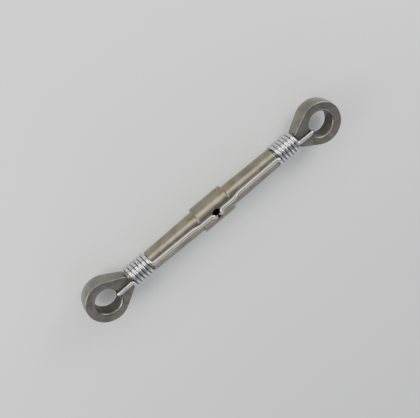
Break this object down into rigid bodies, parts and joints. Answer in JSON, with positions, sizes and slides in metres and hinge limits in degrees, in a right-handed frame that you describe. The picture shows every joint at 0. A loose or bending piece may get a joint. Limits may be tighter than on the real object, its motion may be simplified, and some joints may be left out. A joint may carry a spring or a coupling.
{
  "type": "rigging turnbuckle",
  "caption": "Barrel turnbuckle with a screwed eye at each end, coupled opposite-hand threads, and locking wires wound round both shanks and hooked into a hole through the middle collar.",
  "frame": {"origin": "middle of the barrel, where the long axis crosses the hole through the collar", "axes": "+X along the turnbuckle towards eye end B, +Z along the bores of the eyes and the hole through the collar"},
  "size_m": [0.1144, 0.0164, 0.0132],
  "materials": {
    "barrel_metal": "satin, warm olive-grey turned metal",
    "eye_steel": "satin, dark warm grey forged steel with lighter rubbed edges",
    "bright_wire": "bright drawn stainless wire"
  },
  "bodies": {
    "eye_end_a": {"eye_end_a": "eye_steel"},
    "lock_wires": {"lock_wire_a": "bright_wire", "lock_wire_b": "bright_wire"},
    "barrel": {"barrel": "barrel_metal"},
    "eye_end_b": {"eye_end_b": "eye_steel"}
  },
  "joints": [
    {"name": "eye_a_slide", "type": "slide", "parent": "eye_end_a", "child": "lock_wires", "axis": [1, 0, 0], "range_m": [0, 0.008], "deforming": ["lock_wire_a"]},
    {"name": "barrel_turn", "type": "hinge", "parent": "lock_wires", "child": "barrel", "pos_m": [0, 0, 0], "axis": [1, 0, 0], "range_deg": [0, 2880]},
    {"name": "eye_b_slide", "type": "slide", "parent": "lock_wires", "child": "eye_end_b", "axis": [1, 0, 0], "range_m": [0, 0.008], "deforming": ["lock_wire_b"]}
  ],
  "couplings": [
    {"joint": "barrel_turn", "follows": "eye_a_slide", "rad_per_m": 6283.2},
    {"joint": "eye_b_slide", "follows": "eye_a_slide", "ratio": 1}
  ]
}
